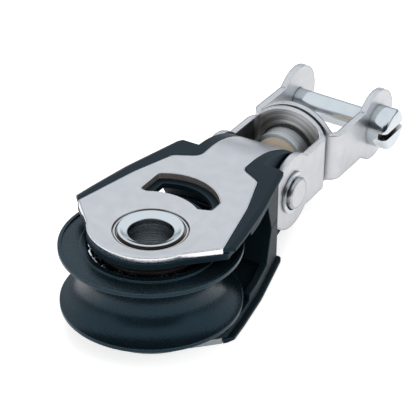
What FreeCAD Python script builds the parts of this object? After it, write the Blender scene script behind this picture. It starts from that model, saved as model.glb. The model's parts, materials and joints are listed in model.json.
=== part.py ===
import FreeCAD, Part
import math
import os

Vector = FreeCAD.Vector

# Swivel block for small boats, in millimetres.
# The origin is the centre of the sheave's axle. +Z is the axle, +Y points to the shackle.

# Sheave and its two rows of bearing balls
sheave_r = 15.0
sheave_half_width = 5.55
sheave_rim_width = 0.6
sheave_floor = 1.45
sheave_face_recess = 0.25
sheave_face_recess_width = 3.0
rope_groove_r = 5.0
rope_groove_share = 0.2863
ball_r = 1.19
ball_row_inset = 1.3
ball_spacing = 0.15
ball_groove_clearance = 0.06
ball_gap_half = 0.65
ball_bite = 0.45
race_gap = 0.35
race_play = 0.05
race_shoulder_beyond = 0.05

# Side plates of the strap, with a shallow dish and a pocket round the axle
sheet = 1.15
plate_above_sheave = 3.65
dish_over_race = 0.7
pocket_share = 0.6564
dish_depth = 1.3
pocket_depth = 0.45
pocket_wall = 0.15
plate_front_margin = 0.7
plate_chamfer_bite = 0.47
plate_corner_inset = 1.3
plate_corner_round = 0.4
plate_bend_inset = 4.05
plate_bend_ahead = 3.0
plate_bend_round = 20.0
plate_shoulder_inset = 6.7
plate_shoulder_behind = 4.9
plate_shoulder_round = 1.3
plate_notch_step = 2.2
plate_notch_round = 2.0
neck_half_width = 4.2

# Kidney slot through each plate and cheek, wider towards the left end
slot_left = 7.1
slot_right = 6.45
slot_left_end_width = 1.45
slot_inner_bite = 0.845
slot_inner_centre_x = -0.85
slot_inner_centre_y = 0.45
slot_outer_r = 9.45
slot_outer_centre_x = -1.6
slot_outer_ahead = 3.7
slot_corner_r = 1.0
slot_ledge = 1.25
slot_ledge_corner_r = 0.4

# Moulded cheeks: a rim flush with the plate, over walls that stand back
cheek_corner_beyond = 0.15
cheek_corner_round = 0.5
cheek_flank_inset = 0.35
cheek_flank_behind = 5.0
cheek_flank_round = 8.0
cheek_bend_inset = 1.7
cheek_bend_ahead = 1.8
cheek_bend_round = 25.0
cheek_under_plate = 2.2
cheek_hole_gap = 0.7
rim_bevel_width = 0.8
rim_bevel_height = 0.4
rim_depth = 0.85
rim_overhang = 0.85
skirt_wall = 1.2
skirt_start_ahead = 5.7
skirt_start_rise = 0.4
skirt_gap = 0.25
seam_depth = 0.18
seam_half_height = 0.12
plate_gap = 0.15
nose_half_width = 10.2
throat_length = 3.6
nose_lean = 2.6
nose_wall_to_back = 7.2
nose_back_round = 1.5
nose_bevel = 1.3
nose_tongue_half_width = 6.3

# Pivot at the nose, and the loop that the strap makes round it
pivot_behind_nose = 7.5
loop_r = 6.6
neck_bend_behind_shoulder = 4.6
pivot_pin_r = 2.9
pin_play = 0.05

# Hollow axle rivet and its washers
axle_wall = 0.96
axle_lip_width = 0.77
axle_lip_height = 0.8
axle_lip_edge = 0.12
axle_mouth_depth = 0.35
axle_mouth_round = 0.22
pocket_gap = 0.45
washer_step = 0.33
rivet_washer_thickness = 0.28

# Yoke: two round ears on the pivot pin and a round web for the swivel
yoke_half_width = 7.85
yoke_ear_r = 6.95
yoke_arm_half_height = 5.0
yoke_web_r = 8.4
yoke_bend_r = 2.3
ear_gap = 0.2

# Swivel, from the collar inside the yoke to the peened tail behind the shackle
collar_behind_pivot = 8.7
collar_height = 3.2
collar_r = 4.95
collar_wall = 0.75
collar_floor = 0.8
post_recess = 0.4
post_r = 2.95
head_washer_thickness = 0.3
head_washer_beyond = 0.35
thrust_washer_thickness = 0.5
thrust_washer_r = 6.6
swivel_play = 0.05
tail_r = 4.3
tail_height = 1.0
tail_crown = 1.2

# Retaining clips of the pivot pin
clip_thickness = 0.45
clip_outer_r = 3.85
clip_band = 0.7
clip_seat_depth = 0.5
clip_open_angle = 130.0
clip_prong_width = 1.2
clip_gap = 0.08
pin_end_length = 0.75
pin_chamfer = 0.3

# Shackle and its slotted pin
shackle_sheet = 1.2
shackle_half_width = 8.85
shackle_ear_r = 6.8
shackle_arm_half_height = 4.6
shackle_web_r = 8.5
shackle_bend_r = 2.4
shackle_pin_behind_web = 16.15
shackle_pin_r = 2.38
pin_head_r = 3.95
pin_head_height = 3.95
pin_head_round = 1.0
pin_slot_width = 1.3
pin_slot_depth = 1.6
pin_tip_length = 0.35

# Angles at rest: the yoke hangs a little low, and the shackle is turned a little on its swivel
rest_droop = 1.0
rest_turn = 1.5

# Sheave and bearing, from the rope groove inwards
groove_floor_r = sheave_r * (1 - rope_groove_share)
groove_centre_r = groove_floor_r + rope_groove_r
sheave_bore_r = groove_floor_r - sheave_floor
ball_circle_r = sheave_bore_r + ball_bite
ball_count = int(2 * math.pi * ball_circle_r / (2 * ball_r + ball_spacing))
ball_groove_r = ball_r + ball_groove_clearance
race_land_r = sheave_bore_r - race_gap
ball_row_z = sheave_half_width - ball_row_inset
race_shoulder_z = sheave_half_width + race_shoulder_beyond

# Plate, dish, pocket and axle, from the bearing inwards
dish_r = race_land_r + dish_over_race
pocket_r = dish_r * pocket_share
rivet_washer_r = pocket_r - pocket_gap
axle_lip_r = rivet_washer_r - washer_step
axle_r = axle_lip_r - axle_lip_width
axle_bore_r = axle_r - axle_wall
plate_top_z = sheave_half_width + plate_above_sheave
plate_under_z = plate_top_z - sheet
dish_floor_z = plate_top_z - dish_depth
pocket_z = dish_floor_z - pocket_depth
race_end_z = pocket_z - sheet
plate_front_r = dish_r + plate_front_margin
plate_chamfer_offset = math.sqrt(2) * plate_front_r - plate_chamfer_bite
plate_corner_x = sheave_r - plate_corner_inset
plate_shoulder_y = sheave_r + plate_shoulder_behind
neck_bend_y = plate_shoulder_y + neck_bend_behind_shoulder
cheek_corner_x = sheave_r + cheek_corner_beyond
cheek_hole_r = dish_r - cheek_hole_gap
cheek_inner_z = plate_top_z - cheek_under_plate
rim_under_z = plate_top_z - rim_depth
slot_inner_r = dish_r - slot_inner_bite
slot_outer_centre_y = dish_r - slot_outer_ahead
slot_end_reach = slot_left - slot_left_end_width + slot_inner_centre_x
slot_low_y = slot_inner_centre_y + math.sqrt(slot_inner_r ** 2 - slot_end_reach ** 2)

# Throat, nose and pivot, from the sheave's rim backwards
skirt_end_z = sheave_half_width + skirt_gap
throat_end_y = sheave_r + throat_length
nose_wall_y = throat_end_y + nose_lean
nose_back_y = throat_end_y + nose_wall_to_back
pivot_y = nose_back_y + pivot_behind_nose
neck_arc_r = ((pivot_y - neck_bend_y) ** 2 + plate_top_z ** 2 - loop_r ** 2) / (2 * (plate_top_z - loop_r))
bush_r = loop_r - sheet - race_play

# Swivel and shackle, from the pivot backwards
yoke_inner_x = yoke_half_width - sheet
head_washer_r = collar_r + head_washer_beyond
collar_front_y = pivot_y + collar_behind_pivot
collar_back_y = collar_front_y + collar_height
yoke_web_y = collar_back_y + head_washer_thickness + swivel_play
thrust_washer_y = yoke_web_y + sheet + swivel_play
shackle_web_y = thrust_washer_y + thrust_washer_thickness
tail_y = shackle_web_y + shackle_sheet
shackle_pin_y = shackle_web_y + shackle_pin_behind_web
far = 100.0

AXIS_X = Vector(1, 0, 0)
AXIS_Y = Vector(0, 1, 0)
AXIS_Z = Vector(0, 0, 1)


def block(x0, x1, y0, y1, z0, z1):
    return Part.makeBox(x1 - x0, y1 - y0, z1 - z0, Vector(x0, y0, z0))


def cylinder_x(radius, x0, x1, y=0.0):
    return Part.makeCylinder(radius, x1 - x0, Vector(x0, y, 0), AXIS_X)


def cylinder_y(radius, y0, y1):
    return Part.makeCylinder(radius, y1 - y0, Vector(0, y0, 0), AXIS_Y)


def cylinder_z(radius, z0, z1):
    return Part.makeCylinder(radius, z1 - z0, Vector(0, 0, z0), AXIS_Z)


def turned_z(profile):
    """Turn a closed (radius, z) outline about the axle."""
    points = [Vector(r, 0, z) for r, z in profile]
    face = Part.Face(Part.makePolygon(points + points[:1]))
    return face.revolve(Vector(0, 0, 0), AXIS_Z, 360)


def turned_y(profile):
    """Turn a closed (radius, y) outline about the swivel's axis."""
    points = [Vector(r, y, 0) for r, y in profile]
    face = Part.Face(Part.makePolygon(points + points[:1]))
    return face.revolve(Vector(0, 0, 0), AXIS_Y, 360)


def mirrored_z(shape):
    return shape.mirror(Vector(0, 0, 0), AXIS_Z)


def mirrored_x(shape):
    return shape.mirror(Vector(0, 0, 0), AXIS_X)


def rounded_face(corners):
    """Make a flat face from (x, y, corner radius) corners; a radius of 0 stays sharp."""
    edges = []
    starts = []
    ends = []
    count = len(corners)
    for index, (x, y, radius) in enumerate(corners):
        here = Vector(x, y, 0)
        if radius == 0:
            starts.append(here)
            ends.append(here)
            continue
        before = Vector(*corners[index - 1][:2], 0) - here
        after = Vector(*corners[(index + 1) % count][:2], 0) - here
        before.normalize()
        after.normalize()
        half_angle = before.getAngle(after) / 2
        reach = radius / math.tan(half_angle)
        middle = (before + after).normalize()
        start = here + before * reach
        end = here + after * reach
        arc_middle = here + middle * (radius / math.sin(half_angle) - radius)
        edges.append(Part.Arc(start, arc_middle, end).toShape())
        starts.append(start)
        ends.append(end)
    for index in range(count):
        tail = ends[index]
        head = starts[(index + 1) % count]
        if (head - tail).Length > 1e-6:
            edges.append(Part.LineSegment(tail, head).toShape())
    return Part.Face(Part.Wire(Part.__sortEdges__(edges)))


def both_sides(right_corners):
    """Add the left half to the corners of the right half, listed from front to back."""
    left = [(-x, y, radius) for x, y, radius in reversed(right_corners)]
    return right_corners + left


def plate_prism(z0, z1, grow=0.0):
    """Plan of a side plate with its neck, grown outwards by a gap, between two heights."""
    kink = plate_chamfer_offset / 2
    slope = math.sqrt(2) * grow
    corner_x = plate_corner_x + grow
    bend_x = sheave_r - plate_bend_inset + grow
    shoulder_x = sheave_r - plate_shoulder_inset + grow
    corners = both_sides([
        (kink, kink - plate_chamfer_offset - slope, 0),
        (corner_x, corner_x - plate_chamfer_offset - slope, plate_corner_round),
        (bend_x, sheave_r - plate_bend_ahead, plate_bend_round),
        (shoulder_x, plate_shoulder_y + grow, plate_shoulder_round),
        (neck_half_width + grow, plate_shoulder_y + plate_notch_step + grow, plate_notch_round),
        (neck_half_width + grow, pivot_y + far, 0)])
    plan = rounded_face(corners).extrude(Vector(0, 0, z1 - z0))
    plan.translate(Vector(0, 0, z0))
    return plan.fuse(cylinder_z(plate_front_r + grow, z0, z1)).removeSplitter()


def side_face(inset, front_y):
    """Side view inside the strap: flat plates that run in arcs into the loop round the pivot."""
    top = plate_top_z - inset
    arc_r = neck_arc_r - inset
    end_r = loop_r - inset
    arc_centre = Vector(0, neck_bend_y, plate_top_z - neck_arc_r)
    pivot = Vector(0, pivot_y, 0)
    towards = (pivot - arc_centre).normalize()
    joint = pivot + towards * end_r
    start = Vector(0, neck_bend_y, top)
    bisector = (AXIS_Z + towards).normalize()
    arc_middle = arc_centre + bisector * arc_r
    nose = pivot + AXIS_Y * end_r

    def low(point):
        return Vector(point.x, point.y, -point.z)

    edges = [
        Part.LineSegment(Vector(0, front_y, top), start).toShape(),
        Part.Arc(start, arc_middle, joint).toShape(),
        Part.Arc(joint, nose, low(joint)).toShape(),
        Part.Arc(low(joint), low(arc_middle), low(start)).toShape(),
        Part.LineSegment(low(start), Vector(0, front_y, -top)).toShape(),
        Part.LineSegment(Vector(0, front_y, -top), Vector(0, front_y, top)).toShape()]
    return Part.Face(Part.Wire(edges))


def side_prism(inset, half_width, front_y=-sheave_r - 1):
    face = side_face(inset, front_y)
    face.translate(Vector(-half_width, 0, 0))
    return face.extrude(Vector(2 * half_width, 0, 0))


def kidney(shrink, corner_r):
    """Slot between two arcs with rounded ends, smaller all round by shrink, through everything."""
    outer_centre = Vector(slot_outer_centre_x, slot_outer_centre_y, -far)
    inner_centre = Vector(slot_inner_centre_x, slot_inner_centre_y, -far)
    outer = Part.makeCylinder(slot_outer_r - shrink, 2 * far, outer_centre, AXIS_Z)
    inner = Part.makeCylinder(slot_inner_r + shrink, 2 * far, inner_centre, AXIS_Z)
    ends = block(shrink - slot_left, slot_right - shrink, slot_low_y + shrink, far, -far, far)
    slot = outer.common(ends).cut(inner)
    upright = [edge for edge in slot.Edges if abs(edge.tangentAt(edge.FirstParameter).z) > 0.99]
    return slot.makeFillet(corner_r, upright)


def dish_sheet():
    """Upper dish of the plate round the axle, one sheet thick, with its pocket for the rivet."""
    inner_r = axle_r + race_play
    wall_r = pocket_r - pocket_wall
    return turned_z([
        (inner_r, pocket_z), (wall_r, pocket_z), (pocket_r, dish_floor_z), (dish_r, plate_top_z),
        (dish_r, plate_under_z), (pocket_r, dish_floor_z - sheet), (wall_r, race_end_z),
        (inner_r, race_end_z)])


def strap():
    band = side_prism(0, sheave_r).cut(side_prism(sheet, sheave_r + 1, -sheave_r - 2))
    folded = band.common(plate_prism(-far, far))
    folded = folded.cut(cylinder_z(dish_r, -far, far))
    upper_dish = dish_sheet()
    folded = folded.fuse([upper_dish, mirrored_z(upper_dish)])
    return folded.cut(kidney(0, slot_corner_r)).removeSplitter()


def cheek_plan(inset, z):
    """Plan of a cheek at a height, with its flanks moved in by inset."""
    kink = plate_chamfer_offset / 2
    corner_x = cheek_corner_x - inset
    plan = rounded_face(both_sides([
        (kink, kink - plate_chamfer_offset, 0),
        (corner_x, corner_x - plate_chamfer_offset, cheek_corner_round),
        (sheave_r - cheek_flank_inset - inset, cheek_flank_behind, cheek_flank_round),
        (sheave_r - cheek_bend_inset - inset, sheave_r - cheek_bend_ahead, cheek_bend_round),
        (nose_half_width - inset, nose_back_y, nose_back_round)]))
    plan.translate(Vector(0, 0, z))
    return plan


def cheek_walls(inset, z0, z1):
    return cheek_plan(inset, z0).extrude(Vector(0, 0, z1 - z0))


def cheek_blank():
    """Solid outline of the upper cheek: seam, walls, overhanging rim with a bevel, and tongue."""
    bevel_z = plate_top_z - rim_bevel_height
    seam = cheek_walls(rim_overhang + seam_depth, 0, plate_under_z)
    walls = cheek_walls(rim_overhang, seam_half_height, plate_under_z)
    rim = cheek_walls(0, rim_under_z, bevel_z)
    foot = cheek_plan(0, bevel_z).OuterWire
    crest = cheek_plan(rim_bevel_width, plate_top_z).OuterWire
    bevel = Part.makeLoft([foot, crest], True, True)
    front = cylinder_z(plate_front_r, 0, plate_top_z)
    crease_y = nose_back_y - nose_bevel / 2
    slope = Part.makePolygon([
        Vector(-far, crease_y, plate_top_z), Vector(-far, nose_back_y, plate_top_z - nose_bevel),
        Vector(-far, nose_back_y, plate_top_z), Vector(-far, crease_y, plate_top_z)])
    nose_cut = Part.Face(slope).extrude(Vector(2 * far, 0, 0))
    tongue = block(-nose_tongue_half_width, nose_tongue_half_width, nose_wall_y, far, 0, plate_top_z)
    blank = seam.fuse([walls, rim, bevel, front]).cut(nose_cut).fuse(tongue)
    return blank.common(side_prism(0, far, -far)).removeSplitter()


def throat():
    """Room for the sheave and rope: open sideways below the skirts, wider between them."""
    start_y = sheave_r - skirt_start_ahead
    window = Part.makePolygon([
        Vector(-far, -far, -1), Vector(-far, nose_wall_y, -1), Vector(-far, nose_wall_y, 0),
        Vector(-far, throat_end_y, skirt_end_z), Vector(-far, start_y + skirt_start_rise, skirt_end_z),
        Vector(-far, start_y, cheek_inner_z), Vector(-far, -far, cheek_inner_z), Vector(-far, -far, -1)])
    sideways = Part.Face(window).extrude(Vector(2 * far, 0, 0))
    inside = cheek_walls(rim_overhang + skirt_wall, -1, cheek_inner_z)
    inside = inside.common(block(-far, far, -far, throat_end_y, -far, far))
    return sideways.fuse(inside)


def upper_cheek():
    body = cheek_blank().cut(throat())
    strap_seat = plate_prism(-far, far, plate_gap).cut(side_prism(sheet, far, -far))
    dish_seat = turned_z([
        (0, far), (dish_r, far), (dish_r, plate_under_z), (pocket_r, dish_floor_z - sheet),
        (pocket_r, race_end_z), (0, race_end_z)])
    bush_seat = cylinder_x(loop_r - sheet, -far, far, pivot_y)
    slot = kidney(slot_ledge, slot_ledge_corner_r)
    body = body.cut([strap_seat, dish_seat, cylinder_z(cheek_hole_r, -1, far), slot, bush_seat])
    return body.removeSplitter()


def inner_race():
    inner_r = axle_r + race_play
    seat_r = pocket_r - pocket_wall
    blank = turned_z([
        (inner_r, -race_end_z), (seat_r, -race_end_z), (race_land_r, -race_shoulder_z),
        (race_land_r, race_shoulder_z), (seat_r, race_end_z), (inner_r, race_end_z)])
    return blank.cut([ball_groove(ball_row_z), ball_groove(-ball_row_z)])


def ball_groove(z):
    return Part.makeTorus(ball_circle_r, ball_groove_r, Vector(0, 0, z), AXIS_Z)


def sheave():
    wheel = cylinder_z(sheave_r, -sheave_half_width, sheave_half_width)
    rope_groove = Part.makeTorus(groove_centre_r, rope_groove_r, Vector(0, 0, 0), AXIS_Z)
    mouth_r = ball_circle_r + ball_gap_half
    cuts = [rope_groove, cylinder_z(sheave_bore_r, -far, far)]
    for side in (1, -1):
        z = side * ball_row_z
        mouth = cylinder_z(mouth_r, ball_row_z, far)
        face_r = sheave_r - sheave_rim_width
        recess = cylinder_z(face_r, sheave_half_width - sheave_face_recess, far)
        recess = recess.cut(cylinder_z(face_r - sheave_face_recess_width, 0, far))
        if side < 0:
            mouth = mirrored_z(mouth)
            recess = mirrored_z(recess)
        cuts += [mouth, recess, ball_groove(z)]
    return wheel.cut(cuts).removeSplitter()


def ball_row(z):
    balls = []
    for index in range(ball_count):
        angle = 2 * math.pi * index / ball_count
        centre = Vector(ball_circle_r * math.cos(angle), ball_circle_r * math.sin(angle), z)
        balls.append(Part.makeSphere(ball_r, centre))
    return Part.makeCompound(balls)


def axle_tube():
    """Hollow rivet whose two ends are rolled outwards over the rivet washers."""
    seat_z = pocket_z + rivet_washer_thickness
    crest_z = dish_floor_z + axle_lip_height
    crest_r = (axle_bore_r + axle_lip_r) / 2
    mouth_z = crest_z - axle_lip_height - axle_mouth_depth

    def upper_half():
        points = [Vector(axle_bore_r, 0, 0), Vector(axle_r, 0, 0), Vector(axle_r, 0, seat_z),
                  Vector(axle_lip_r - axle_lip_edge, 0, seat_z)]
        edges = [Part.LineSegment(a, b).toShape() for a, b in zip(points, points[1:])]
        crest = Vector(crest_r, 0, crest_z)
        mouth = Vector(axle_bore_r, 0, mouth_z)
        outer_middle = Vector(axle_lip_r, 0, (seat_z + 2 * crest_z) / 3)
        inner_middle = Vector(axle_bore_r + axle_mouth_round, 0, (mouth_z + 2 * crest_z) / 3)
        edges.append(Part.Arc(points[-1], outer_middle, crest).toShape())
        edges.append(Part.Arc(crest, inner_middle, mouth).toShape())
        edges.append(Part.LineSegment(mouth, points[0]).toShape())
        return Part.Face(Part.Wire(edges)).revolve(Vector(0, 0, 0), AXIS_Z, 360)

    half = upper_half()
    return half.fuse(mirrored_z(half)).removeSplitter()


def rivet_washer():
    top = pocket_z + rivet_washer_thickness
    inner_r = axle_r + race_play
    return turned_z([
        (inner_r, pocket_z), (rivet_washer_r, pocket_z), (rivet_washer_r, top), (inner_r, top)])


def pivot_bush():
    half = yoke_inner_x - ear_gap
    tube = cylinder_x(bush_r, -half, half, pivot_y)
    return tube.cut(cylinder_x(pivot_pin_r + pin_play, -far, far, pivot_y))


def folded_strip(half_width, web_y, thickness, bend_r, ear_y, ear_r, arm_half, web_r):
    """Strip folded into a U: a round web across the swivel's axis and an arm with a round ear."""
    forward = 1 if ear_y > web_y else -1
    web_outer = web_y if forward > 0 else web_y + thickness
    reach = ear_y + forward * (ear_r + 1)
    outer = [(half_width, web_outer, bend_r), (half_width, reach, 0)]
    inner_x = half_width - thickness
    inner = [(inner_x, web_outer + forward * thickness, bend_r - thickness), (inner_x, reach + forward, 0)]
    shell = rounded_face(both_sides(outer)).cut(rounded_face(both_sides(inner)))
    shell = shell.extrude(Vector(0, 0, 2 * far))
    shell.translate(Vector(0, 0, -far))
    split_y = web_outer + forward * (bend_r + 0.1)
    low_y = min(split_y, ear_y)
    high_y = max(split_y, ear_y)
    side_view = block(-far, far, low_y, high_y, -arm_half, arm_half)
    side_view = side_view.fuse(cylinder_x(ear_r, -far, far, ear_y))
    back_y = min(web_outer - forward, split_y)
    front_y = max(web_outer - forward, split_y)
    web_view = block(-far, far, back_y, front_y, -arm_half, arm_half)
    web_view = web_view.fuse(cylinder_y(web_r, back_y, front_y))
    return shell.common(side_view.fuse(web_view)).removeSplitter()


def yoke():
    strip = folded_strip(yoke_half_width, yoke_web_y, sheet, yoke_bend_r, pivot_y, yoke_ear_r,
                         yoke_arm_half_height, yoke_web_r)
    pin_hole = cylinder_x(pivot_pin_r + pin_play, -far, far, pivot_y)
    post_hole = cylinder_y(post_r + swivel_play, collar_back_y, shackle_web_y)
    return strip.cut([pin_hole, post_hole])


def clip_seat_x():
    return yoke_half_width + clip_gap


def pivot_pin():
    """Headless pin with a groove for a clip beyond each ear."""
    half = clip_seat_x() + clip_thickness + pin_end_length
    pin = cylinder_x(pivot_pin_r, -half, half, pivot_y)
    ends = [edge for edge in pin.Edges if edge.Closed]
    pin = pin.makeChamfer(pin_chamfer, ends)
    seat = clip_seat_x() - clip_gap / 2
    width = clip_thickness + clip_gap
    groove = cylinder_x(pivot_pin_r + 1, seat, seat + width, pivot_y)
    groove = groove.cut(cylinder_x(pivot_pin_r - clip_seat_depth, seat, seat + width, pivot_y))
    return pin.cut([groove, mirrored_x(groove)])


def right_clip():
    """Open clip that grips the pin's groove with three prongs, its back towards the block."""
    x0 = clip_seat_x()
    x1 = x0 + clip_thickness
    band = cylinder_x(clip_outer_r, x0, x1, pivot_y)
    band = band.cut(cylinder_x(clip_outer_r - clip_band, x0, x1, pivot_y))
    grip_r = pivot_pin_r - clip_seat_depth + race_play
    half = clip_prong_width / 2
    prongs = []
    for angle in (90, 180, 270):
        prong = block(x0, x1, pivot_y, pivot_y + clip_outer_r - clip_band / 2, -half, half)
        prong.rotate(Vector(0, pivot_y, 0), AXIS_X, angle)
        prongs.append(prong)
    ring = band.fuse(prongs).cut(cylinder_x(grip_r, x0, x1, pivot_y))
    mouth = clip_outer_r + 1
    half_angle = math.radians(clip_open_angle / 2)
    edge_y = mouth * math.cos(half_angle)
    edge_z = mouth * math.sin(half_angle)
    near_y = pivot_y + edge_y
    far_y = pivot_y + 2 * mouth
    wedge = Part.makePolygon([
        Vector(x0, pivot_y, 0), Vector(x0, near_y, edge_z), Vector(x0, far_y, edge_z),
        Vector(x0, far_y, -edge_z), Vector(x0, near_y, -edge_z), Vector(x0, pivot_y, 0)])
    return ring.cut(Part.Face(wedge).extrude(Vector(clip_thickness, 0, 0))).removeSplitter()


def swivel_collar():
    inner = collar_r - collar_wall
    return turned_y([
        (collar_r, collar_front_y), (collar_r, collar_back_y), (post_r, collar_back_y),
        (post_r, collar_back_y - collar_floor), (inner, collar_back_y - collar_floor),
        (inner, collar_front_y)])


def swivel_post():
    """Core of the swivel: a flat head in the collar, a shank, and a tail peened behind the shackle."""
    head_r = collar_r - collar_wall
    tail_end = tail_y + tail_height
    return turned_y([
        (0, collar_front_y + post_recess), (head_r, collar_front_y + post_recess),
        (head_r, collar_back_y - collar_floor), (post_r, collar_back_y - collar_floor),
        (post_r, tail_y), (tail_r, tail_y), (tail_r - tail_crown / 4, tail_y + tail_height / 2),
        (tail_r - tail_crown, tail_end), (0, tail_end)])


def head_washer():
    disc = cylinder_y(head_washer_r, collar_back_y, collar_back_y + head_washer_thickness)
    return disc.cut(cylinder_y(post_r, collar_back_y, tail_y))


def thrust_washer():
    disc = cylinder_y(thrust_washer_r, thrust_washer_y, shackle_web_y)
    return disc.cut(cylinder_y(post_r, collar_back_y, tail_y))


def shackle():
    strip = folded_strip(shackle_half_width, shackle_web_y, shackle_sheet, shackle_bend_r, shackle_pin_y,
                         shackle_ear_r, shackle_arm_half_height, shackle_web_r)
    pin_hole = cylinder_x(shackle_pin_r + pin_play, -far, far, shackle_pin_y)
    post_hole = cylinder_y(post_r, shackle_web_y, tail_y)
    return strip.cut([pin_hole, post_hole])


def shackle_pin():
    """Pin with a round head and a screwdriver slot; its plain shank is the size over the thread."""
    tip = -shackle_half_width - pin_tip_length
    head_end = shackle_half_width + pin_head_height
    shank = cylinder_x(shackle_pin_r, tip, shackle_half_width, shackle_pin_y)
    shank = shank.makeChamfer(pin_chamfer, [edge for edge in shank.Edges
                                            if edge.Closed and edge.BoundBox.XMax < 0])
    head = cylinder_x(pin_head_r, shackle_half_width, head_end, shackle_pin_y)
    head = head.makeFillet(pin_head_round, [edge for edge in head.Edges
                                            if edge.Closed and edge.BoundBox.XMin > head_end - 0.01])
    half = pin_slot_width / 2
    slot = block(head_end - pin_slot_depth, far, shackle_pin_y - far, shackle_pin_y + far, -half, half)
    return head.cut(slot).fuse(shank).removeSplitter()


def lowered(shape):
    """Let a piece of the yoke hang a little low about the pivot."""
    shape.rotate(Vector(0, pivot_y, 0), AXIS_X, -rest_droop)
    return shape


def turned(shape):
    """Turn a piece of the shackle a little on the swivel, then hang it with the yoke."""
    shape.rotate(Vector(0, 0, 0), AXIS_Y, rest_turn)
    return lowered(shape)


def build():
    cheek = upper_cheek()
    washer = rivet_washer()
    clip = lowered(right_clip())
    return {
        "strap": strap(),
        "upper_cheek": cheek,
        "lower_cheek": mirrored_z(cheek),
        "axle_tube": axle_tube(),
        "upper_rivet_washer": washer,
        "lower_rivet_washer": mirrored_z(washer),
        "inner_race": inner_race(),
        "pivot_bush": pivot_bush(),
        "sheave": sheave(),
        "upper_balls": ball_row(ball_row_z),
        "lower_balls": ball_row(-ball_row_z),
        "yoke": lowered(yoke()),
        "pivot_pin": lowered(pivot_pin()),
        "right_clip": clip,
        "left_clip": mirrored_x(clip),
        "swivel_collar": turned(swivel_collar()),
        "swivel_post": turned(swivel_post()),
        "head_washer": turned(head_washer()),
        "thrust_washer": turned(thrust_washer()),
        "shackle": turned(shackle()),
        "shackle_pin": turned(shackle_pin())}


os.makedirs("parts", exist_ok=True)
for name, shape in build().items():
    shape.exportStep("parts/" + name + ".step")
    print(name, "solids", len(shape.Solids), "volume", round(shape.Volume, 1), "valid", shape.isValid())
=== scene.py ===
# %% [markdown]
# # A swivel block for small boats
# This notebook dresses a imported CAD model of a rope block: a black grooved sheave between two
# steel-plated cheeks, a tilting yoke at its nose, and a shackle that swivels behind the yoke. The
# CAD solids are the true pieces, so they stay where they are, and each gets the finish of the real
# metal or plastic.

# %% Load the frame
import json
import math

import bmesh
import bpy
from mathutils import Matrix, Vector


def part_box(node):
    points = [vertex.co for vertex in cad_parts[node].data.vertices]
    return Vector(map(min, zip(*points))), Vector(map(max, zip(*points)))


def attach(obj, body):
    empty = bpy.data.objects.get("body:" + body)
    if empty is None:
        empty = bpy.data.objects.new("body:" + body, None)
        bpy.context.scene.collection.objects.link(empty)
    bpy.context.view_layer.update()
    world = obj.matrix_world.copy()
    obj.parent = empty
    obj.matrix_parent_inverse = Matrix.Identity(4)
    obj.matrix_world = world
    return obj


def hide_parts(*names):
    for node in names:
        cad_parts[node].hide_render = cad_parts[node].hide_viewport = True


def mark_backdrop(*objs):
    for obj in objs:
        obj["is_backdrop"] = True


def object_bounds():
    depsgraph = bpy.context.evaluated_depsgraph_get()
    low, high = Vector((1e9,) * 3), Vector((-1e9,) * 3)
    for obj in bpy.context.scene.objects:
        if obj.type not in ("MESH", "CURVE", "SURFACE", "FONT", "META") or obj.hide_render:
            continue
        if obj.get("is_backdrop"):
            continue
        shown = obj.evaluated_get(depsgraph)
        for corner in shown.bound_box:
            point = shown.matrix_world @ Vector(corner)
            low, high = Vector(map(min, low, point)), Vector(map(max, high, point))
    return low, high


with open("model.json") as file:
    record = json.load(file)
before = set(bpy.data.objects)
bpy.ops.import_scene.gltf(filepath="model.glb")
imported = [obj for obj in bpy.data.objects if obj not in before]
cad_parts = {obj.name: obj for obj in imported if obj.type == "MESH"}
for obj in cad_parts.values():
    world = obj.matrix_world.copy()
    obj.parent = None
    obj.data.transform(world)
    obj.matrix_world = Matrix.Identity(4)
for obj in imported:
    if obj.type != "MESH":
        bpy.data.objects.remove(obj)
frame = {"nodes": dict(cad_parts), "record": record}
nodes = frame["nodes"]
cad_low, cad_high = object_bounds()
print("CAD nodes:", len(nodes), "from", tuple(cad_low), "to", tuple(cad_high))

# %% [markdown]
# ## The camera
# The photograph was taken from the front right, about 32 degrees above the bench. A camera fitted
# to the rim of the bore, the sheave and the pins gives its direction, its distance and the place
# in the picture where the centre of the axle falls. A lens shift could put that centre there, but
# moving the camera sideways does it too and keeps the other views simple.

# %% Place the camera
millimetre = 0.001
photo_size = (415, 400)
axle_in_photo = (151.17, 270.28)
camera_azimuth = math.radians(30.84)
camera_elevation = math.radians(31.87)
camera_roll = math.radians(0.43)
camera_distance = 300 * millimetre
focal_pixels = 1851.6
sensor_width = 36.0
nearest_seen = 10 * millimetre
farthest_seen = 10.0

towards_camera = Vector((math.sin(camera_azimuth) * math.cos(camera_elevation),
                         -math.cos(camera_azimuth) * math.cos(camera_elevation),
                         math.sin(camera_elevation)))
level_right = (-towards_camera).cross(Vector((0, 0, 1))).normalized()
level_up = towards_camera.cross(level_right)
right = level_right * math.cos(camera_roll) + level_up * math.sin(camera_roll)
up = level_up * math.cos(camera_roll) - level_right * math.sin(camera_roll)

pixel = camera_distance / focal_pixels
across = (axle_in_photo[0] - photo_size[0] / 2) * pixel
above = (photo_size[1] / 2 - axle_in_photo[1]) * pixel
camera_place = towards_camera * camera_distance - right * across - up * above

camera_data = bpy.data.cameras.new("camera")
camera_data.sensor_width = sensor_width
camera_data.lens = focal_pixels / photo_size[0] * sensor_width
camera_data.clip_start = nearest_seen
camera_data.clip_end = farthest_seen
camera = bpy.data.objects.new("camera", camera_data)
turn = Matrix((right, up, towards_camera)).transposed().to_4x4()
camera.matrix_world = Matrix.Translation(camera_place) @ turn
bpy.context.scene.collection.objects.link(camera)
bpy.context.scene.camera = camera
print("camera at", tuple(camera_place), "lens", round(camera_data.lens, 1), "mm")

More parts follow.
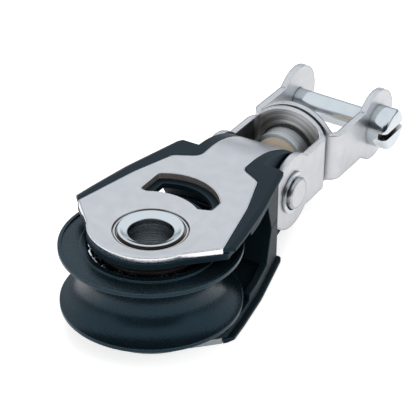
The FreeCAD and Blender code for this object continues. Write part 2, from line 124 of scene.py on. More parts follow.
# %% [markdown]
# ## Shader maths in plain Python
# A finish could be wired node by node, but it is easier to read as a sum. `Wire` wraps a socket
# and turns `+ - *` into Math nodes. Each sign has its reflected form too, so that 1 - mask works.

# %% Wrap a socket
class Wire:
    def __init__(self, paint, socket):
        self.paint = paint
        self.socket = socket

    def maths(self, operation, first, second):
        values = {"Value": first, "Value_001": second}
        return self.paint.node("ShaderNodeMath", {"operation": operation}, values)

    def __add__(self, other):
        return self.maths("ADD", self, other)

    def __radd__(self, other):
        return self.maths("ADD", other, self)

    def __sub__(self, other):
        return self.maths("SUBTRACT", self, other)

    def __rsub__(self, other):
        return self.maths("SUBTRACT", other, self)

    def __mul__(self, other):
        return self.maths("MULTIPLY", self, other)

    def __rmul__(self, other):
        return self.maths("MULTIPLY", other, self)


print("sockets add, subtract and multiply")

# %% [markdown]
# ## Any other node
# `Paint` holds the nodes of one material or world. Its `node` makes one from a type, its settings,
# which come first because they can change the sockets, and the values or links of its sockets. A
# socket is found by its identifier, because several sockets of a node may share a name.

# %% Make any node
def find_socket(sockets, name):
    for socket in sockets:
        if socket.identifier == name:
            return socket
    return sockets[name]


class Paint:
    def __init__(self, owner):
        self.owner = owner
        owner.use_nodes = True
        self.tree = owner.node_tree
        self.tree.nodes.clear()

    def node(self, kind, settings=None, inputs=None, output=0):
        made = self.tree.nodes.new(kind)
        for name, value in (settings or {}).items():
            setattr(made, name, value)
        for name, value in (inputs or {}).items():
            socket = find_socket(made.inputs, name)
            if isinstance(value, Wire):
                self.tree.links.new(value.socket, socket)
            else:
                socket.default_value = value
        if isinstance(output, str):
            return Wire(self, find_socket(made.outputs, output))
        return Wire(self, made.outputs[output])

    def surface(self, shader, end_kind="ShaderNodeOutputMaterial"):
        end = self.tree.nodes.new(end_kind)
        self.tree.links.new(shader.socket, end.inputs["Surface"])
        print("finished", self.owner.name, "from", len(self.tree.nodes), "nodes")
        return self.owner


print("a node takes a type, settings and sockets")

# %% [markdown]
# ## The sums that a plus sign can't say
# Colours and directions don't go through a Math node, which would turn them grey. They have Mix
# and Vector Math. A soft step between two limits is a Map Range node.

# %% Name the other sums
def new_paint(name):
    return Paint(bpy.data.materials.new(name))


def dot_product(paint, first, second):
    values = {"Vector": first, "Vector_001": second}
    return paint.node("ShaderNodeVectorMath", {"operation": "DOT_PRODUCT"}, values, "Value")


def parts_of(paint, vector):
    """The x, y and z of a vector, as three wires."""
    return [paint.node("ShaderNodeSeparateXYZ", {}, {"Vector": vector}, axis) for axis in "XYZ"]


def either(paint, first, second):
    values = {"Value": first, "Value_001": second}
    return paint.node("ShaderNodeMath", {"operation": "MAXIMUM"}, values)


def spread(paint, value, low, high):
    """Turn low..high into 0..1 with soft ends."""
    limits = {"Value": value, "From Min": low, "From Max": high, "To Min": 0.0, "To Max": 1.0}
    return paint.node("ShaderNodeMapRange", {"interpolation_type": "SMOOTHSTEP"}, limits)


def mixed(paint, factor, first, second):
    inputs = {"Factor_Float": factor, "A_Color": first, "B_Color": second}
    return paint.node("ShaderNodeMix", {"data_type": "RGBA"}, inputs, "Result_Color")


print("shader helpers ready")

# %% [markdown]
# ## The studio
# The block lies on a plain pale table between white walls. Polished steel shows its surroundings,
# so they draw the picture. A picture of a studio could be hung round the scene, but a few soft
# steps in the world's colour do it too, and can be tuned by angle. The low half of the room on the
# photographer's side is dark, and every rounded edge that turns towards it becomes a thin dark
# line beside a white one. The walls fade to a cool grey towards the horizon. Only reflections see
# all that. The camera sees white all round, and a plain grey world lights the matte faces.

# %% Build the world
white = (1, 1, 1, 1)
world_grey = (0.42, 0.42, 0.42, 1)
wall_colour = (0.93, 0.965, 1.0, 1)
dark_room_colour = (0.025, 0.035, 0.045, 1)
horizon_colour = (0.20, 0.25, 0.30, 1)
photographer_side = (math.sin(camera_azimuth), -math.cos(camera_azimuth), 0)
horizon_ends, walls_begin = 2, 26
dark_room_begins, dark_room_full = 26, 52
dark_room_top, dark_room_low_half = 50, 30


def ray_kind(paint, name):
    return paint.node("ShaderNodeLightPath", output=name)


def mirror_ray(paint):
    return either(paint, ray_kind(paint, "Is Glossy Ray"), ray_kind(paint, "Is Transmission Ray"))


def sine(degrees):
    return math.sin(math.radians(degrees))


def make_world():
    paint = Paint(bpy.data.worlds.new("white studio"))
    direction = paint.node("ShaderNodeTexCoord", output="Generated")
    height = parts_of(paint, direction)[2]
    towards = dot_product(paint, direction, photographer_side)
    above_horizon = spread(paint, height, sine(horizon_ends), sine(walls_begin))
    walls = mixed(paint, above_horizon, horizon_colour, wall_colour)
    dark_side = spread(paint, towards, sine(dark_room_begins), sine(dark_room_full))
    dark = dark_side * spread(paint, height, sine(dark_room_top), sine(dark_room_low_half))
    walls = mixed(paint, dark, walls, dark_room_colour)
    colour = mixed(paint, mirror_ray(paint), world_grey, walls)
    colour = mixed(paint, ray_kind(paint, "Is Camera Ray"), colour, white)
    sky = paint.node("ShaderNodeBackground", {}, {"Color": colour})
    return paint.surface(sky, "ShaderNodeOutputWorld")


bpy.context.scene.world = make_world()
bpy.context.scene.view_settings.view_transform = "Standard"

# %% [markdown]
# ## The table and the lamps
# The table is one wide square under the block. It glows a little for the camera, which turns its
# grey to the white of the background and leaves the shadow, and less for polished steel. Three
# square softboxes light the matte faces from above, from the right and from the front. Mirrored in
# steel they would be hard white squares, so reflections don't see them.

# %% Build the table and hang the lamps
table_half_width = 3.0
table_colour = (0.9, 0.9, 0.9, 1)
table_roughness = 0.9
table_shine = 0.1
glow_seen = 0.62
glow_mirrored = 0.36
lamps = [
    ("top softbox", (-0.15, 0.25, 0.45), 0.4, 1.0),
    ("right softbox", (0.45, 0, 0.25), 0.3, 0.6),
    ("front softbox", (0.05, -0.5, 0.2), 0.25, 1.0),
]


def make_table(height):
    corners = [(-1, -1), (1, -1), (1, 1), (-1, 1)]
    points = [(x * table_half_width, y * table_half_width, height) for x, y in corners]
    mesh = bpy.data.meshes.new("table")
    mesh.from_pydata(points, [], [(0, 1, 2, 3)])
    table = bpy.data.objects.new("table", mesh)
    bpy.context.scene.collection.objects.link(table)
    paint = new_paint("pale table")
    camera_ray = ray_kind(paint, "Is Camera Ray")
    glow = camera_ray * glow_seen + mirror_ray(paint) * glow_mirrored
    shader = paint.node("ShaderNodeBsdfPrincipled", {}, {
        "Base Color": table_colour, "Roughness": table_roughness,
        "Specular IOR Level": table_shine, "Emission Color": glow, "Emission Strength": 1.0})
    mesh.materials.append(paint.surface(shader))
    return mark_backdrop(table)


def make_lamp(name, place, size, watts):
    data = bpy.data.lights.new(name, "AREA")
    data.shape = "SQUARE"
    data.size = size
    data.energy = watts
    lamp = bpy.data.objects.new(name, data)
    lamp.visible_glossy = False
    lamp.location = place
    aim = Vector(middle) - Vector(place)
    lamp.rotation_euler = aim.to_track_quat("-Z", "Y").to_euler()
    bpy.context.scene.collection.objects.link(lamp)
    print(name, "at", place, "with", watts, "W")


middle = (cad_low + cad_high) / 2
make_table(cad_low.z)
for lamp_row in lamps:
    make_lamp(*lamp_row)

# %% [markdown]
# ## Bends for the rolled lips
# The CAD has each rolled lip as two plain arcs over a flat washer. The real lip is a shallow funnel
# with its crest near the outside, and the washer is a thin cup whose rim shows as a bright ring
# round the lip. Their outlines are made of smooth bends. Arcs would need centres and angles, and a
# bend that is pulled towards a corner needs only three points.

# %% Draw a bend
bend_steps = 7


def bend(start, corner, end):
    """Points of a smooth bend after its start, pulled towards a corner."""
    points = []
    for step in range(1, bend_steps + 1):
        t = step / bend_steps
        weights = ((1 - t) ** 2, 2 * t * (1 - t), t ** 2)
        places = (start, corner, end)
        points.append(tuple(sum(w * p[i] for w, p in zip(weights, places)) for i in (0, 1)))
    return points


print("a bend has", bend_steps, "points")

# %% [markdown]
# ## A lathe for the rivet and its washers
# All three are bodies of revolution. A Screw modifier could turn them, but a closed outline of
# radius and height that is carried round the axle in code leaves nothing to apply. Every piece
# rides on the block's frame, stands for its CAD node and stays inside it in height.

# %% Turn an outline round the axle
turn_steps = 160
crease_angle = math.radians(40)


def turned_mesh(name, outline):
    angles = [2 * math.pi * step / turn_steps for step in range(turn_steps)]
    points = [(r * math.cos(a) * millimetre, r * math.sin(a) * millimetre, z * millimetre)
              for a in angles for r, z in outline]
    count = len(outline)
    faces = []
    for step in range(turn_steps):
        here, there = step * count, (step + 1) % turn_steps * count
        for i in range(count):
            after = (i + 1) % count
            faces.append((here + i, there + i, there + after, here + after))
    mesh = bpy.data.meshes.new(name)
    mesh.from_pydata(points, [], faces)
    return mesh


def turned_piece(name, outline, node):
    mesh = turned_mesh(name, outline)
    shape = bmesh.new()
    shape.from_mesh(mesh)
    bmesh.ops.recalc_face_normals(shape, faces=shape.faces)
    shape.to_mesh(mesh)
    shape.free()
    mesh.shade_smooth()
    mesh.set_sharp_from_angle(angle=crease_angle)
    piece = bpy.data.objects.new(name, mesh)
    bpy.context.scene.collection.objects.link(piece)
    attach(piece, "block_frame")
    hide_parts(node)
    print(name, "stands for", node, "with", len(mesh.polygons), "faces")
    return piece


print("the lathe turns in", turn_steps, "steps")

# %% [markdown]
# ## The hollow rivet
# One tube goes through the whole block, and each of its ends is rolled out over the plate. Seen
# from the bore, the lip opens as a funnel, rises to its crest and turns down to its seat. Each
# bend is drawn between two points on the outline, towards a corner, and the lower half mirrors the
# upper. Lengths are in millimetres, as radius and height.

# %% Turn the rivet
bore_r = 3.74
tube_r = 4.755
cup_sheet = 0.07
seat_clearance = 0.01
foot_height = 0.08
washer_low, washer_high = (corner.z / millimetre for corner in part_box("upper_rivet_washer"))
cup_floor = washer_low + cup_sheet
lip_seat = cup_floor + seat_clearance

bore_top = (bore_r, 7.36)
mouth = (3.92, 7.66)
funnel_top = (4.84, 8.08)
crest = (5.20, 8.17)
lip_side = (5.38, 8.00)
lip_foot = (5.36, lip_seat + foot_height)
lip_under = (5.26, lip_seat)

rivet_outline = [(bore_r, 0), bore_top]
rivet_outline += bend(bore_top, (bore_r, 7.58), mouth)
rivet_outline += bend(mouth, (4.42, 7.84), funnel_top)
rivet_outline += bend(funnel_top, (5.02, 8.18), crest)
rivet_outline += bend(crest, (5.38, 8.16), lip_side) + [lip_foot]
rivet_outline += bend(lip_foot, (5.35, lip_seat), lip_under)
rivet_outline += [(tube_r, lip_seat), (tube_r, 0)]
rivet_outline += [(r, -z) for r, z in reversed(rivet_outline[1:-1])]

rivet = turned_piece("rolled_rivet", rivet_outline, "axle_tube")

# %% [markdown]
# ## The cup washers
# A thin washer with a turned-up rim lies under each lip, in the pocket of the plate. Its hole
# clears the tube and its floor carries the lip. It stands for the CAD's flat washer and keeps its
# height. The outline begins under the hole, and the lower washer is the upper one upside down.

# %% Turn the two cup washers
washer_hole_r = 4.80
washer_rim_r = 6.03

rim_side = (washer_rim_r, washer_high - 0.1)
rim_top = (washer_rim_r - 0.1, washer_high)
rim_inside = (washer_rim_r - 0.32, washer_high - 0.08)
floor_edge = (washer_rim_r - 0.42, cup_floor)

cup = [(washer_hole_r, washer_low), (washer_rim_r, washer_low), rim_side]
cup += bend(rim_side, (washer_rim_r, washer_high), rim_top)
cup += bend(rim_top, (washer_rim_r - 0.28, washer_high), rim_inside)
cup += bend(rim_inside, (washer_rim_r - 0.34, cup_floor), floor_edge)
cup += [(washer_hole_r, cup_floor)]

upper_cup = turned_piece("upper_cup_washer", cup, "upper_rivet_washer")
lower_cup = turned_piece("lower_cup_washer", [(r, -z) for r, z in cup], "lower_rivet_washer")

# %% [markdown]
# ## Where on the piece
# A finish asks where a point lies on its piece and which way the face looks. Both come from the
# object's own coordinates, in metres, so the finish moves with the piece. Grain is noise read at
# that place. Fine circles, as a lathe or a rotary brush leaves, are noise read at the distance
# from an axis and the place along it.

# %% Read the place, the grain and the circles
def place_on(paint):
    return parts_of(paint, paint.node("ShaderNodeTexCoord", output="Object"))


def facing_of(paint):
    return parts_of(paint, paint.node("ShaderNodeTexCoord", output="Normal"))


def grain(paint, feature, detail=2.0):
    """Noise with features of about this size in metres."""
    place = paint.node("ShaderNodeTexCoord", output="Object")
    inputs = {"Vector": place, "Scale": 1 / feature, "Detail": detail}
    return paint.node("ShaderNodeTexNoise", {}, inputs)


def from_axis(paint, axis):
    """The distance from an axis through the origin, and the place along it."""
    place = place_on(paint)
    along = place.pop("XYZ".index(axis))
    squares = place[0] * place[0] + place[1] * place[1]
    return paint.node("ShaderNodeMath", {"operation": "SQRT"}, {"Value": squares}), along


def circles_round(paint, axis, feature, detail=3.0):
    distance, along = from_axis(paint, axis)
    ring_place = paint.node("ShaderNodeCombineXYZ", {}, {"X": distance, "Y": along})
    inputs = {"Vector": ring_place, "Scale": 1 / feature, "Detail": detail}
    return paint.node("ShaderNodeTexNoise", {}, inputs)


print("grain and circles ready")

# %% [markdown]
# ## Edges, relief and corners
# Real pieces have no sharp edges. A bevel in the mesh would change the CAD solids, so a Bevel node
# rounds them for the light only, and the angle between its normal and the true one marks where an
# edge is. Where the rounding of a steel edge begins, a fine dark line is painted, as a painted
# reflection of the dark side of the room. A corner or a recess, where little light comes, is found
# by Ambient Occlusion, and the finishes paint shade there.

# %% Helpers for edges, relief and corners
rays_per_point = 8
edge_begins, edge_full = 0.975, 0.90
line_begins, line_full = 0.999, 0.988


def soft_edges(paint, radius):
    return paint.node("ShaderNodeBevel", {"samples": rays_per_point}, {"Radius": radius})


def unturned(paint, rounded):
    """1 where the rounded normal is the true one, and less the nearer an edge is."""
    return dot_product(paint, rounded, paint.node("ShaderNodeNewGeometry", output="Normal"))


def edge_mask(paint, rounded):
    return spread(paint, unturned(paint, rounded), edge_begins, edge_full)


def line_mask(paint, rounded, edge):
    """1 on the fine line where the rounding of an edge begins."""
    return spread(paint, unturned(paint, rounded), line_begins, line_full) * (1 - edge)


def sheltered(paint, reach, begins=0.72, full=0.20):
    """1 in a corner or a recess, and 0 in the open."""
    settings = {"samples": rays_per_point}
    openness = paint.node("ShaderNodeAmbientOcclusion", settings, {"Distance": reach}, "AO")
    return spread(paint, openness, begins, full)


def raised(paint, height, depth, normal):
    inputs = {"Height": height, "Distance": depth, "Strength": 1.0, "Normal": normal}
    return paint.node("ShaderNodeBump", {}, inputs)


print("an edge shows from a cosine of", edge_begins, "and its line from", line_begins)

# %% [markdown]
# ## Metal and its tints
# All metals here share one shader, and a colour is a level of grey times a tint. The tumbled steel
# of the photograph leans a little to lilac, polished steel to blue, and the black plastics to a
# slate blue.

# %% Make one metal shader and three tints
def metal(paint, colour, rough, normal, metallic=1.0):
    return paint.surface(paint.node("ShaderNodeBsdfPrincipled", {}, {
        "Base Color": colour, "Metallic": metallic, "Roughness": rough, "Normal": normal}))


def grey(level, tint=(1, 1, 1)):
    return (level * tint[0], level * tint[1], level * tint[2], 1)


lilac = (0.955, 0.965, 1.0)
cool = (0.90, 0.96, 1.0)
slate = (0.38, 0.75, 1.0)
print("tints:", lilac, cool, slate)

# %% [markdown]
# ## Pressed stainless sheet
# The plates, the yoke and the shackle are pressed from stainless sheet and tumbled, which leaves a
# calm satin face without a direction, and smooth edges. One plain roughness would look like grey
# paint, so noise at two sizes gives a faint mottling. The edges are smoother, and a painted
# highlight makes them brighter. A fine dark line, a painted reflection, runs where each edge's
# rounding begins, and corners and recesses get painted shade.

# %% Make the satin sheet
sheet_edge_r = 0.42 * millimetre
mottle_size = 2.2 * millimetre
tumbled_size = 0.25 * millimetre
tumbled_depth = 0.004 * millimetre
# How far the painted shade of a recess reaches.
shade_reach = 3 * millimetre
satin_detail = 3.0
mottle_low, mottle_high = 0.3, 0.7
satin_dark, satin_light = grey(0.655, lilac), grey(0.70, lilac)
# Painted reflection: the fine dark line where the rounding of an edge begins.
line_reflection_colour, line_reflection_strength = grey(0.15, cool), 0.9
# Painted highlight: the colour of the rounded edges.
edge_highlight_colour = grey(0.92, lilac)
# Painted shade in corners and recesses.
sheet_recess_shade = (0.30, 0.28, 0.27, 1)
satin_least, satin_varies, satin_polish = 0.32, 0.10, 0.65


def satin_colour(paint, edge, line):
    cloud = grain(paint, mottle_size, satin_detail)
    mottled = spread(paint, cloud, mottle_low, mottle_high)
    colour = mixed(paint, mottled, satin_dark, satin_light)
    # Painted reflection: a dark line where each edge's rounding begins.
    colour = mixed(paint, line * line_reflection_strength, colour, line_reflection_colour)
    # Painted highlight: brighter colour on the rounded edges.
    return mixed(paint, edge, colour, edge_highlight_colour)


def satin_rough(speck, polished):
    """Satin that grows smooth where the mask of the polished places is 1."""
    return (satin_least + speck * satin_varies) * (1 - polished * satin_polish)


def satin_sheet():
    paint = new_paint("satin stainless sheet")
    speck = grain(paint, tumbled_size, satin_detail)
    rounded = soft_edges(paint, sheet_edge_r)
    edge = edge_mask(paint, rounded)
    colour = satin_colour(paint, edge, line_mask(paint, rounded, edge))
    # Painted shade in corners and recesses.
    colour = mixed(paint, sheltered(paint, shade_reach), colour, sheet_recess_shade)
    normal = raised(paint, speck, tumbled_depth, rounded)
    return metal(paint, colour, satin_rough(speck, edge), normal)


satin_steel = satin_sheet()

# %% [markdown]
# ## The kidney slot
# A kidney-shaped slot is punched through both side plates behind the rivet. No polishing wheel
# gets in, so its wall keeps the rough brown-grey of the punch. The slot is no piece of its own, so
# a box round it, in the plates' own coordinates, tells its wall from the plates' outline.

# %% Find the slot
slot_side_x = 8.8 * millimetre
slot_low_y = 8.0 * millimetre
slot_high_y = 19.0 * millimetre
soft_side, soft_front, soft_back = 0.97, 0.97, 1.02
punched_dark = (0.05, 0.046, 0.044, 1)
punched_light = (0.27, 0.245, 0.23, 1)
punched_rougher, punched_less_metal = 0.4, 0.7


def round_slot(paint, place):
    beside = spread(paint, place[0] * place[0], slot_side_x ** 2, (slot_side_x * soft_side) ** 2)
    ahead = spread(paint, place[1], slot_low_y * soft_front, slot_low_y)
    behind = spread(paint, place[1], slot_high_y * soft_back, slot_high_y)
    return beside * ahead * behind


print("slot between y", slot_low_y, "and", slot_high_y)

# %% [markdown]
# ## The soft dish
# The plates are dished round the rivet, and the dish is pressed so softly that it shows no crease.
# The CAD solid has one. A smoother mesh could replace the node, but the shape is right and only its
# light is hard, so inside the dish the normal is drawn most of the way back to the flat plate's.
# How level a face is comes as the square of its normal's upright part, which is 1 on a level face
# and 0 on a wall.

# %% Ease the dish
dish_ends_r = 10.0 * millimetre
plate_begins_r = dish_ends_r * 1.03
dish_flattened = 0.75
dish_least, dish_most = 0.45, 0.60


def eased_dish(paint, rounded, place, level, beyond_dish):
    """The rounded normal, drawn towards the flat plate's inside the dish."""
    side = paint.node("ShaderNodeMath", {"operation": "SIGN"}, {"Value": place[2]})
    flat = paint.node("ShaderNodeCombineXYZ", {}, {"Z": side})
    sloping = spread(paint, level, dish_least, dish_most) * (1 - beyond_dish) * dish_flattened
    inputs = {"Factor_Float": sloping, "A_Vector": rounded, "B_Vector": flat}
    return paint.node("ShaderNodeMix", {"data_type": "VECTOR"}, inputs, "Result_Vector")


print("the dish ends at", dish_ends_r, "m from the axle")

# %% [markdown]
# ## The two side plates
# The strap makes both side plates, and its outline is sheared and polished. The narrow wall of
# the upper plate gets a painted highlight, so it is brighter than the face, and the wall of the
# lower plate gets painted shade, so it is duller. The bright wall and the fine painted dark line at
# an edge belong to the flat plate, and distance from the axle keeps them out of the dish.

# %% Make the side plates' sheet
wall_begins, wall_full = 0.35, 0.10
# Painted shade on the lower plate's wall and a painted highlight on the upper plate's.
lower_wall_shade, upper_wall_highlight = grey(0.40, cool), grey(0.95, lilac)


def plate_sheet():
    paint = new_paint("side plate sheet")
    speck = grain(paint, tumbled_size, satin_detail)
    place = place_on(paint)
    upright = facing_of(paint)[2]
    level = upright * upright
    distance, _ = from_axis(paint, "Z")
    beyond_dish = spread(paint, distance, dish_ends_r, plate_begins_r)
    rounded = soft_edges(paint, sheet_edge_r)
    edge = edge_mask(paint, rounded)
    line = line_mask(paint, rounded, edge)
    sheared = spread(paint, level, wall_begins, wall_full)
    wall = sheared * beyond_dish
    colour = satin_colour(paint, edge * beyond_dish, line * beyond_dish)
    upper = spread(paint, place[2], 0.0, millimetre)
    # Painted highlight on the upper wall and painted shade on the lower wall.
    colour = mixed(paint, wall, colour, mixed(paint, upper, lower_wall_shade, upper_wall_highlight))
    # Painted shade in the recesses, kept off the wall.
    colour = mixed(paint, sheltered(paint, shade_reach) * (1 - wall), colour, sheet_recess_shade)
    punched = sheared * round_slot(paint, place)
    colour = mixed(paint, punched, colour, mixed(paint, speck, punched_dark, punched_light))
    rough = satin_rough(speck, either(paint, edge, sheared)) + punched * punched_rougher
    eased = eased_dish(paint, rounded, place, level, beyond_dish)
    normal = raised(paint, speck, tumbled_depth, eased)
    return metal(paint, colour, rough, normal, 1 - punched * punched_less_metal)


plate_steel = plate_sheet()

# %% [markdown]
# ## The inside of the yoke
# Outside, the yoke is tumbled like the other sheet. Inside, the tumbling stones can't reach, and
# the web keeps the brown-grey rings of the brush that cleaned its hole. The inner faces of the arms
# are painted dark, as painted shade. The yoke is one solid with one material, so the direction of
# the face tells the inside from the outside.

# %% Make the yoke's sheet
yoke_inner_x = 6.7 * millimetre
web_ends_x = yoke_inner_x * 1.06
brush_size = 0.22 * millimetre
brush_depth = 0.01 * millimetre
brush_rougher = 0.1
ring_low, ring_high = 0.35, 0.65
web_begins, web_full = -0.5, -0.9
web_dark, web_light = (0.50, 0.46, 0.43, 1), (0.97, 0.93, 0.90, 1)
# Painted shade for the inner faces of the yoke's arms.
arm_inside_shade = (0.22, 0.21, 0.21, 1)


def yoke_sheet():
    paint = new_paint("yoke sheet, brushed inside")
    speck = grain(paint, tumbled_size, satin_detail)
    circles = circles_round(paint, "Y", brush_size)
    facing = facing_of(paint)
    across_yoke = place_on(paint)[0]
    web = spread(paint, facing[1], web_begins, web_full)
    within = spread(paint, across_yoke * across_yoke, web_ends_x ** 2, yoke_inner_x ** 2)
    arms = spread(paint, across_yoke * facing[0], 0.0, -yoke_inner_x / 2)
    rounded = soft_edges(paint, sheet_edge_r)
    edge = edge_mask(paint, rounded)
    web_colour = mixed(paint, spread(paint, circles, ring_low, ring_high), web_dark, web_light)
    colour = satin_colour(paint, edge, line_mask(paint, rounded, edge))
    colour = mixed(paint, web * within * (1 - edge), colour, web_colour)
    # Painted shade: the inner faces of the arms are darkened.
    colour = mixed(paint, arms * (1 - edge), colour, arm_inside_shade)
    rough = satin_rough(speck, edge) + circles * web * brush_rougher
    normal = raised(paint, speck, tumbled_depth, rounded)
    return metal(paint, colour, rough, raised(paint, circles * web, brush_depth, normal))


yoke_steel = yoke_sheet()

# %% [markdown]
# ## Polished steel
# The clips and the shackle's pin are turned or stamped and then polished, so they show the studio
# in hard bands. A perfect mirror looks like glass, so faint scratches and a little unevenness are
# left, and painted shade darkens the corners and the pin's slot.

# %% Make the polished steel
scratch_size = 0.4 * millimetre
scratch_depth = 0.003 * millimetre
scratch_detail = 3.0
uneven_size = 2.5 * millimetre
polished_edge_r = 0.15 * millimetre
polished_dark, polished_light = grey(0.66, cool), grey(0.80, cool)
# Painted shade for corners and the pin's slot.
polished_recess_shade = (0.10, 0.075, 0.06, 1)
mirror_rough, scratch_rough, uneven_rough = 0.06, 0.05, 0.04


def polished_steel():
    paint = new_paint("polished stainless")
    speck = grain(paint, scratch_size, scratch_detail)
    cloud = grain(paint, uneven_size)
    colour = mixed(paint, cloud, polished_dark, polished_light)
    # Painted shade in corners and recesses.
    colour = mixed(paint, sheltered(paint, shade_reach), colour, polished_recess_shade)
    rough = mirror_rough + speck * scratch_rough + cloud * uneven_rough
    normal = raised(paint, speck, scratch_depth, soft_edges(paint, polished_edge_r))
    return metal(paint, colour, rough, normal)


bright_steel = polished_steel()

# %% [markdown]
# ## The rivet's steel
# Its lips are rolled and polished. The bore keeps the rings of the boring tool, and looks dark
# because it mostly mirrors its own far wall. The trough between the lip and the rim of the cup
# washer gets a painted brown shade. The three could be pieces of their own, but distance from the
# axis tells them apart in one material.

# %% Make the rivet's finish
bore_begins_r, bore_full_r = bore_r * millimetre * 1.035, bore_r * millimetre * 1.01
lip_crest_r = 5.1 * millimetre
trough_begins_r, trough_full_r = lip_crest_r * 1.02, lip_crest_r * 1.05
rivet_edge_r = 0.1 * millimetre
lip_colour = grey(0.74, cool)
bore_dark, bore_light = grey(0.36, cool), grey(0.80, cool)
lip_rough, bore_rougher = 0.12, 0.12
boring_size = 0.30 * millimetre
boring_depth = 0.03 * millimetre
boring_low, boring_high = 0.4, 0.6
trough_reach = 2 * millimetre
trough_opens, trough_closes = 0.92, 0.45
# Painted brown shade for the trough round each lip.
trough_shade_brown = (0.16, 0.125, 0.105, 1)


def rivet_finish():
    paint = new_paint("polished rivet with a bored hole")
    speck = grain(paint, scratch_size, scratch_detail)
    distance, _ = from_axis(paint, "Z")
    circles = circles_round(paint, "Z", boring_size)
    bore = spread(paint, distance, bore_begins_r, bore_full_r)
    tooled = spread(paint, circles, boring_low, boring_high)
    bored = mixed(paint, tooled, bore_dark, bore_light)
    outside = spread(paint, distance, trough_begins_r, trough_full_r)
    # Painted shade in the trough, outside the crest of the lip.
    trough = sheltered(paint, trough_reach, trough_opens, trough_closes) * outside
    lips = mixed(paint, trough, lip_colour, trough_shade_brown)
    rough = lip_rough + speck * scratch_rough + bore * bore_rougher
    normal = raised(paint, speck, scratch_depth, soft_edges(paint, rivet_edge_r))
    normal = raised(paint, circles * bore, boring_depth, normal)
    return metal(paint, mixed(paint, bore, lips, bored), rough, normal)


rivet_steel = rivet_finish()

# %% [markdown]
# ## Turned steel and bronze
# The swivel's collar and core are turned on a lathe. The tool leaves fine rings round the axis,
# which is the y axis here. Anisotropic gloss could hint at them, but rings with a height of their
# own also show as lines. The core's end is dull and tan, so it is painted as a matte face.

# %% Make the turned metals
lathe_size = 0.18 * millimetre
lathe_depth = 0.010 * millimetre
stain_size = 1.5 * millimetre
turned_edge_r = 0.15 * millimetre
ring_rougher, stain_rougher = 0.1, 0.06


def turned_metal(name, dark, light, roughness, metallic=1.0):
    paint = new_paint(name)
    circles = circles_round(paint, "Y", lathe_size)
    cloud = grain(paint, stain_size)
    colour = mixed(paint, spread(paint, circles, ring_low, ring_high), dark, light)
    rough = roughness + circles * ring_rougher + cloud * stain_rougher
    normal = raised(paint, circles, lathe_depth, soft_edges(paint, turned_edge_r))
    return metal(paint, colour, rough, normal, metallic)


turned_steel = turned_metal("turned stainless", grey(0.66, cool), grey(0.95, cool), 0.30)
tan_bronze = turned_metal("turned bronze", (1.0, 0.78, 0.56, 1), (1.0, 0.92, 0.76, 1), 0.42,
                          metallic=0.0)

# %% [markdown]
# ## Black plastics
# The cheeks are injection-moulded from glass-filled nylon. The mould's spark-eroded face gives an
# even matte grain. The sheave is turned from black acetal. It is smoother, so it has soft bluish
# highlights, and a coarser grain breaks them up. One function makes both, because only its numbers
# differ. In both, a painted highlight makes the rounded edges a little paler, and corners and
# recesses get painted shade. The blue of the highlights is a tint of the shine, and the plastic
# under it stays nearly black.

# %% Make the cheeks' and the sheave's plastic
plastic_shine_tint = (0.40, 0.74, 1.0, 1)
# How much painted highlight the rounded edges get.
edge_highlight_amount = 0.6
# Painted shade in corners and recesses.
corner_shade_black = grey(0.006, slate)


def black_plastic(name, grain_size, detail, relief, cloud_size, corner_r, shelter_reach,
                  dark, light, edge_highlight_level, smooth, rougher, shine):
    paint = new_paint(name)
    speck = grain(paint, grain_size, detail)
    cloud = grain(paint, cloud_size)
    rounded = soft_edges(paint, corner_r)
    # Painted highlight on the rounded edges.
    lit_edge_mask = edge_mask(paint, rounded) * edge_highlight_amount
    colour = mixed(paint, cloud, grey(dark, slate), grey(light, slate))
    colour = mixed(paint, lit_edge_mask, colour, grey(edge_highlight_level, slate))
    # Painted shade in corners and recesses.
    colour = mixed(paint, sheltered(paint, shelter_reach), colour, corner_shade_black)
    return paint.surface(paint.node("ShaderNodeBsdfPrincipled", {}, {
        "Base Color": colour, "Roughness": smooth + speck * rougher,
        "Specular IOR Level": shine, "Specular Tint": plastic_shine_tint,
        "Normal": raised(paint, speck, relief, rounded)}))


moulded_nylon = black_plastic(
    "matte moulded nylon", grain_size=0.22 * millimetre, detail=3.0, relief=0.012 * millimetre,
    cloud_size=5 * millimetre, corner_r=0.3 * millimetre, shelter_reach=4 * millimetre,
    dark=0.013, light=0.022, edge_highlight_level=0.12, smooth=0.42, rougher=0.12, shine=0.22)
black_acetal = black_plastic(
    "turned black acetal", grain_size=0.42 * millimetre, detail=4.0, relief=0.03 * millimetre,
    cloud_size=3 * millimetre, corner_r=0.25 * millimetre, shelter_reach=3 * millimetre,
    dark=0.010, light=0.018, edge_highlight_level=0.14, smooth=0.16, rougher=0.20, shine=0.45)

# %% [markdown]
# ## Small hidden pieces
# The inner race is black anodised alloy, and the two swivel washers are plain black nylon. They
# show only as glints and dark lines, but another view may open on them, so they get a fine grain
# and soft edges like the rest.

# %% Make the race and washer finishes
fine_size = 0.3 * millimetre
small_edge_r = 0.1 * millimetre
fine_darker, fine_rougher = 0.85, 0.08


def smooth_finish(name, level, roughness, metallic, relief):
    paint = new_paint(name)
    speck = grain(paint, fine_size)
    shade = mixed(paint, speck, grey(level), grey(fine_darker * level))
    normal = raised(paint, speck, relief, soft_edges(paint, small_edge_r))
    return metal(paint, shade, roughness + speck * fine_rougher, normal, metallic)


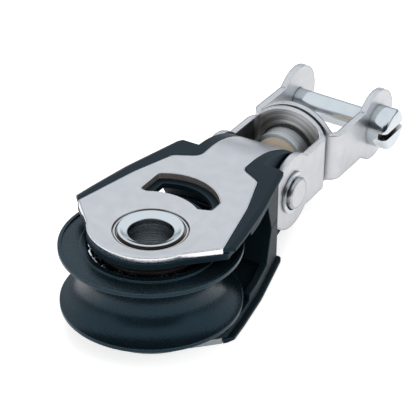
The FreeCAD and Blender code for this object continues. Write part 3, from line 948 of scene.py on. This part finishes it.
washer_nylon = smooth_finish("black nylon washer", level=0.02, roughness=0.5, metallic=0.0,
                             relief=0.004 * millimetre)
anodised_alloy = smooth_finish("black anodised alloy", level=0.04, roughness=0.3, metallic=0.6,
                               relief=0.002 * millimetre)

# %% [markdown]
# ## The balls
# Most of the balls are painted nearly black, as painted shade in the narrow gap where they run,
# and only a few keep bright steel that glints. Each ball could get a material of its own, but the
# row is one piece, so noise that is larger than a ball picks those few.

# %% Make the ball finish
glint_patch_size = 3.5 * millimetre
glint_begins, glint_full = 0.48, 0.56
film_size = 0.2 * millimetre
film_depth = 0.001 * millimetre
ball_edge_r = 0.05 * millimetre
# The painted shade colour of most balls, and the bare steel of the few that glint.
ball_shade_colour, bare_ball_colour = grey(0.05, slate), grey(0.8, cool)
shaded_ball_rough, bare_ball_smoother = 0.45, 0.37


def balls_painted_dark():
    paint = new_paint("ball steel with painted shade")
    patches = grain(paint, glint_patch_size, 0.0)
    glinting = spread(paint, patches, glint_begins, glint_full)
    speck = grain(paint, film_size)
    # Most balls get the painted shade colour.
    colour = mixed(paint, glinting, ball_shade_colour, bare_ball_colour)
    normal = raised(paint, speck, film_depth, soft_edges(paint, ball_edge_r))
    return metal(paint, colour, shaded_ball_rough - glinting * bare_ball_smoother, normal)


ball_steel = balls_painted_dark()

# %% [markdown]
# ## Dress the pieces
# The CAD record says what each node is made of, so a table from its material slots to the finishes
# dresses them all. Three nodes have a finish of their own. The turned rivet and its cup washers
# are new pieces, and wear the rivet's.

# %% Give every piece its finish
finishes = {
    "satin_steel": satin_steel,
    "bright_steel": bright_steel,
    "brushed_steel": turned_steel,
    "bronze": tan_bronze,
    "black_nylon": washer_nylon,
    "cheek_plastic": moulded_nylon,
    "sheave_plastic": black_acetal,
    "race_alloy": anodised_alloy,
    "bearing_balls": ball_steel,
}
own_finishes = {"strap": plate_steel, "yoke": yoke_steel, "axle_tube": rivet_steel}
for part in frame["record"]["subparts"]:
    finish = own_finishes.get(part["node"], finishes[part["material_slot"]])
    mesh = nodes[part["node"]].data
    mesh.materials.clear()
    mesh.materials.append(finish)
    print(part["node"], "is", finish.name)
for piece in (rivet, upper_cup, lower_cup):
    piece.data.materials.append(rivet_steel)
